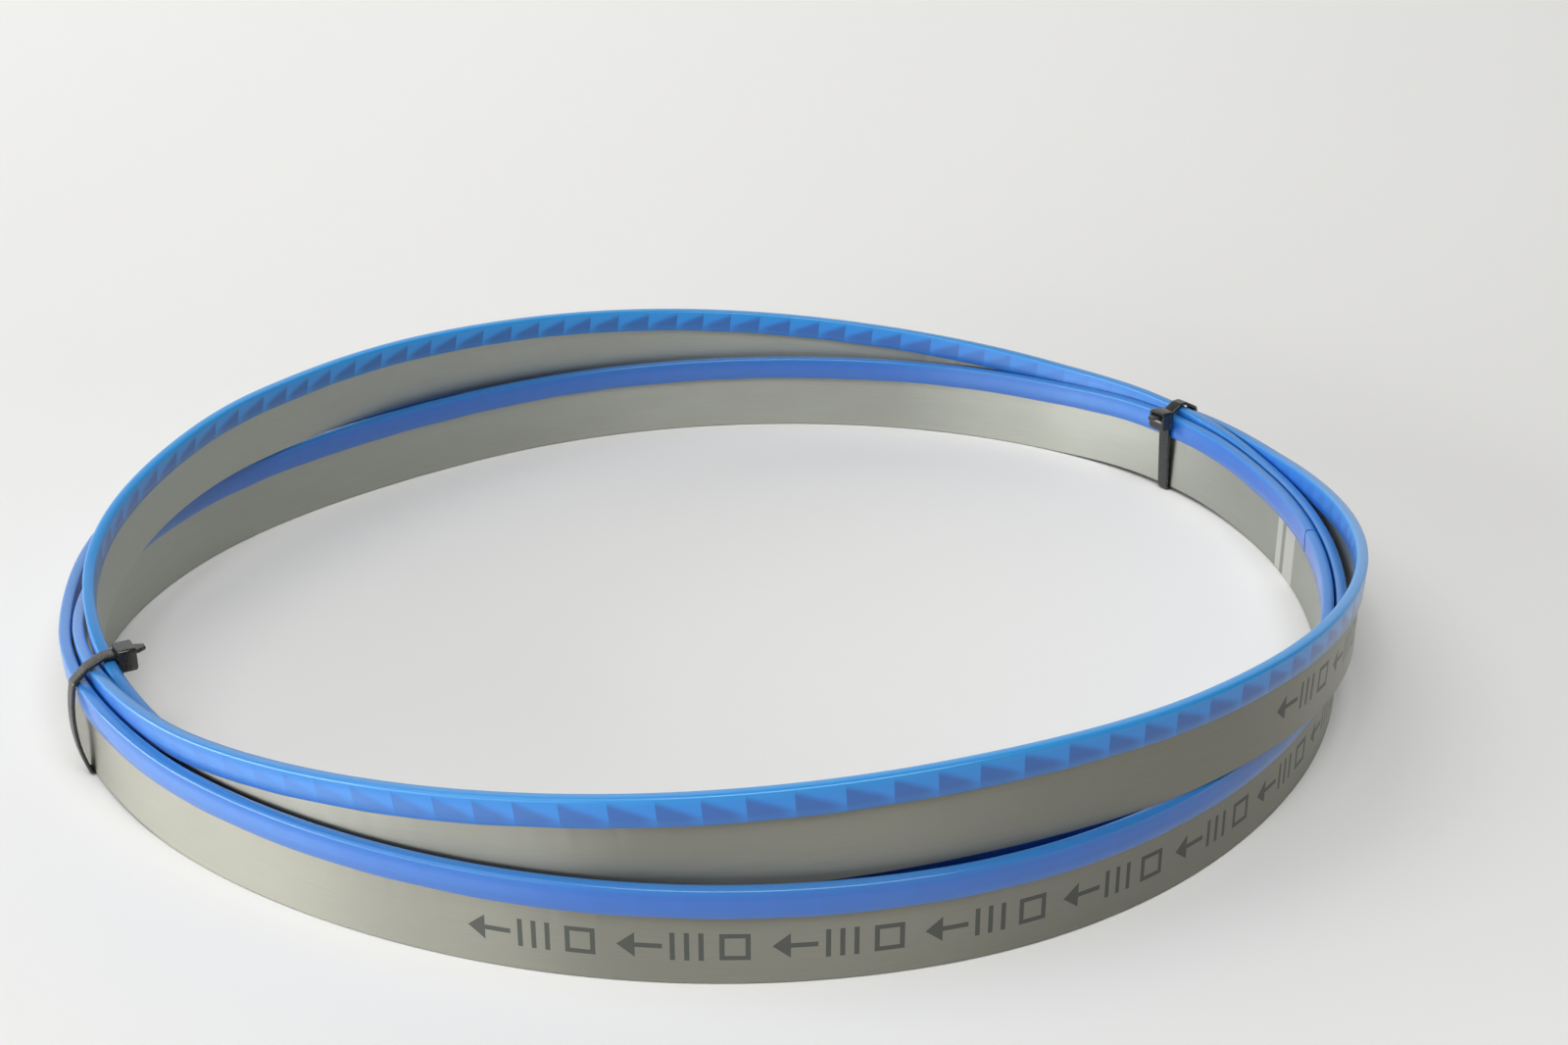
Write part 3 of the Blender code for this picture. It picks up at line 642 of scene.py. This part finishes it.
def strap(name, turn, line):
    """A rounded rectangle carried along the line; the last points narrow to the cut tail."""
    heading = np.gradient(line, axis=0)
    heading /= np.linalg.norm(heading, axis=1, keepdims=True)
    normal = np.stack([-heading[:, 1], heading[:, 0]], 1)
    angle = np.linspace(0, 2 * np.pi, 20, endpoint=False)
    wide = np.sign(np.cos(angle)) * np.abs(np.cos(angle)) ** 0.30 * TIE_WIDTH / 2
    thick = np.sign(np.sin(angle)) * np.abs(np.sin(angle)) ** 0.45 * TIE_THICKNESS / 2
    walked = lengths(line)
    left = (walked[-1] - walked)[:, None]
    narrow = np.clip(0.45 + 0.55 * left / TIP_LENGTH, 0, 1)
    toothed = (np.sin(walked * 2 * np.pi / NOTCH_PITCH) > 0)[:, None]
    notch = NOTCH_DEPTH * toothed * (thick < 0) * (np.abs(wide) < NOTCH_HALF)
    origin, outward, forward = tie_frame(turn)
    flat = line[:, None, :] + normal[:, None, :] * (thick + notch)[..., None]
    points = origin + flat[..., :1] * outward + flat[..., 1:] * np.array([0, 0, 1.0])
    points = points + (wide * narrow)[..., None] * forward
    uv = np.stack(np.broadcast_arrays(walked[:, None], wide[None, :]), -1)
    uv = np.concatenate([uv, uv[:, :1]], 1)
    return surface(name, points, uv, closed_rows=False, ends=True, sharp_over=45)


left_strap = strap("left_strap", LEFT_TIE_AT, left_line)
rear_strap = strap("rear_strap", REAR_TIE_AT, rear_line)

# %% [markdown]
# ## Tie heads
# A head is a thick frame round its window. It is one more ring carried round a path: the path goes round the
# window, and the ring goes up the window's wall, over the front, down the outside and back. A superellipse
# gives the outside its soft moulded corners.
# %% Build the heads
HOLE_HALF_WIDTH, HOLE_HALF_HEIGHT, WINDOW_BELOW_TOP = 0.0027, 0.00088, 0.0019


def head(name, turn, near, window):
    """Frame round the strap's window, from near inwards by HEAD_LENGTH, with the window at this height."""
    angle = np.linspace(0, 2 * np.pi, 64, endpoint=False)
    c = np.sign(np.cos(angle)) * np.abs(np.cos(angle)) ** 0.22
    s = np.sign(np.sin(angle)) * np.abs(np.sin(angle)) ** 0.22
    hole = np.stack([c * HOLE_HALF_WIDTH, s * HOLE_HALF_HEIGHT], 1)
    middle = WINDOW_BELOW_TOP - HEAD_HEIGHT / 2
    shell = np.stack([c * HEAD_WIDTH / 2, middle + s * HEAD_HEIGHT / 2], 1)
    depth = np.array([0.00, 0.10, 0.50, 0.90, 1.00, 1.00, 0.93, 0.50, 0.07, 0.00])
    share = np.array([0.10, 0.00, 0.00, 0.00, 0.10, 0.86, 1.00, 1.00, 1.00, 0.86])
    ring = hole[:, None, :] + (shell - hole)[:, None, :] * share[:, None]
    origin, outward, forward = tie_frame(turn)
    out = (near - depth * HEAD_LENGTH)[None, :, None]
    points = origin + out * outward + ring[..., :1] * forward
    points[..., 2] += ring[..., 1] + window
    uv = np.stack(np.broadcast_arrays(angle[:, None], depth[None, :]), -1)
    uv = np.concatenate([uv, uv[:1]])
    return surface(name, points, np.concatenate([uv, uv[:, :1]], 1), sharp_over=50)


left_head = head("left_tie_head", LEFT_TIE_AT, left_near, left_window)
rear_head = head("rear_tie_head", REAR_TIE_AT, rear_near, rear_window)

# %% [markdown]
# ## Nylon
# Ties are injection-moulded nylon with carbon black, satin where the mould was polished and with a faint
# pebble where it wasn't. To the eye that is a near-black with a broad grey sheen on the faces turned up.
# %% Nylon material
nylon, tree, shader = new_material("black moulded nylon")
spot = node(tree, "ShaderNodeTexCoord").outputs["Object"]
pebble = node(tree, "ShaderNodeTexNoise", {"Vector": spot, "Scale": 2500.0, "Detail": 2.0}).outputs[0]
nylon_colour = node(tree, MIX, {0: pebble, 6: linear("#191A18"), 7: linear("#2A2B28")}, data_type="RGBA")
tree.links.new(nylon_colour.outputs[2], shader.inputs["Base Color"])
roughness = node(tree, MATH, (pebble, 0.16, 0.20), operation="MULTIPLY_ADD")
tree.links.new(roughness.outputs[0], shader.inputs["Roughness"])
shader.inputs["Specular IOR Level"].default_value = 0.8
bump = node(tree, "ShaderNodeBump", {"Height": pebble, "Strength": 0.3, "Distance": 0.00003})
tree.links.new(bump.outputs[0], shader.inputs["Normal"])
for piece, cad_node in ((left_strap, "cable_tie_left"), (left_head, "cable_tie_left"),
                        (rear_strap, "cable_tie_rear"), (rear_head, "cable_tie_rear")):
    show(piece, cad_node, nylon)

# %% [markdown]
# ## Floor
# The object lies on a sheet of matt paper that is flat under it and sweeps up behind it in an arc.
# %% Floor
FLAT_TO, SWEEP_RADIUS = 0.235, 1.1


def sweep_profile():
    """(y, z) of the paper: flat to FLAT_TO, then an arc of a circle, then straight on at its last slope."""
    bend = np.radians(np.linspace(0, 70, 29))
    arc = np.stack([FLAT_TO + SWEEP_RADIUS * np.sin(bend), SWEEP_RADIUS * (1 - np.cos(bend))], 1)
    wall = arc[-1] + 1.2 * np.array([np.cos(bend[-1]), np.sin(bend[-1])])
    return np.concatenate([[[-4.0, 0.0]], arc, [wall]]) - [0, 0.0002]


profile = sweep_profile()
sides_x = np.array([-4.0, 4.0])
paper_points = np.stack(np.broadcast_arrays(sides_x[None, :], profile[:, :1], profile[:, 1:]), -1)
paper_uv = paper_points[..., :2]
floor = surface("floor", paper_points, paper_uv, closed_rows=False, closed_columns=False, sharp_over=60)
paper, tree, shader = new_material("matt white paper")
shader.inputs["Base Color"].default_value = linear("#E6E6E5")
shader.inputs["Roughness"].default_value = 0.9
floor.data.materials.append(paper)

# %% [markdown]
# ## Lights
# A key light stands high at the left, a wash above the camera fills the shadows, and two low, far windows at
# the left are what the upright steel faces show. The room at the right is dark. Metal shows what is round it,
# so the lights' places matter as much as their strength.
# %% Lights
def softbox(name, place, aim, width, height, strength):
    """A rectangular area light that faces a point; strength is radiance, so a bigger box gives more light."""
    lamp = bpy.data.lights.new(name, "AREA")
    lamp.shape, lamp.size, lamp.size_y = "RECTANGLE", width, height
    lamp.energy = strength * width * height * math.pi
    made = bpy.data.objects.new(name, lamp)
    made.location = place
    towards = np.array(aim) - np.array(place)
    flat = math.hypot(towards[0], towards[1])
    made.rotation_euler = (math.atan2(flat, -towards[2]), 0, math.atan2(-towards[0], towards[1]))
    bpy.context.scene.collection.objects.link(made)


softbox("key", (-1.4, 0.0, 2.42), (0, 0, 0), 1.8, 1.8, 1.95)
softbox("wash", (0.2, -0.9, 1.9), (0.1, 0.9, 0.2), 1.5, 1.0, 6.6)
softbox("window_left", (-3.4, -0.45, 0.55), (0, 0, 0.03), 2.8, 0.8, 13.5)
softbox("window_front_left", (-2.4, -2.4, 0.55), (0, 0, 0.03), 2.2, 0.8, 6.0)
world = bpy.data.worlds.new("pale room")
world.use_nodes = True
bpy.context.scene.world = world
tree = world.node_tree
room = tree.nodes["Background"]
room.inputs[0].default_value = linear("#D6C9AC")
room.inputs[1].default_value = 0.06

# %% [markdown]
# ## Camera
# The camera looks down at 24.5 degrees through a lens of 51 mm. Both were found by fitting the coil's outline
# to the photograph, together with the coil's own sizes.
# %% Camera
camera_data = bpy.data.cameras.new("camera")
camera_data.lens = 50.77
camera = bpy.data.objects.new("camera", camera_data)
camera.location = (0.01537 + COIL_CENTRE[0], -0.64962 + COIL_CENTRE[1], 0.33567)
camera.rotation_euler = (math.radians(90 - 24.52), 0, 0)
bpy.context.scene.collection.objects.link(camera)
bpy.context.scene.camera = camera
bpy.context.scene.view_settings.view_transform = "Standard"
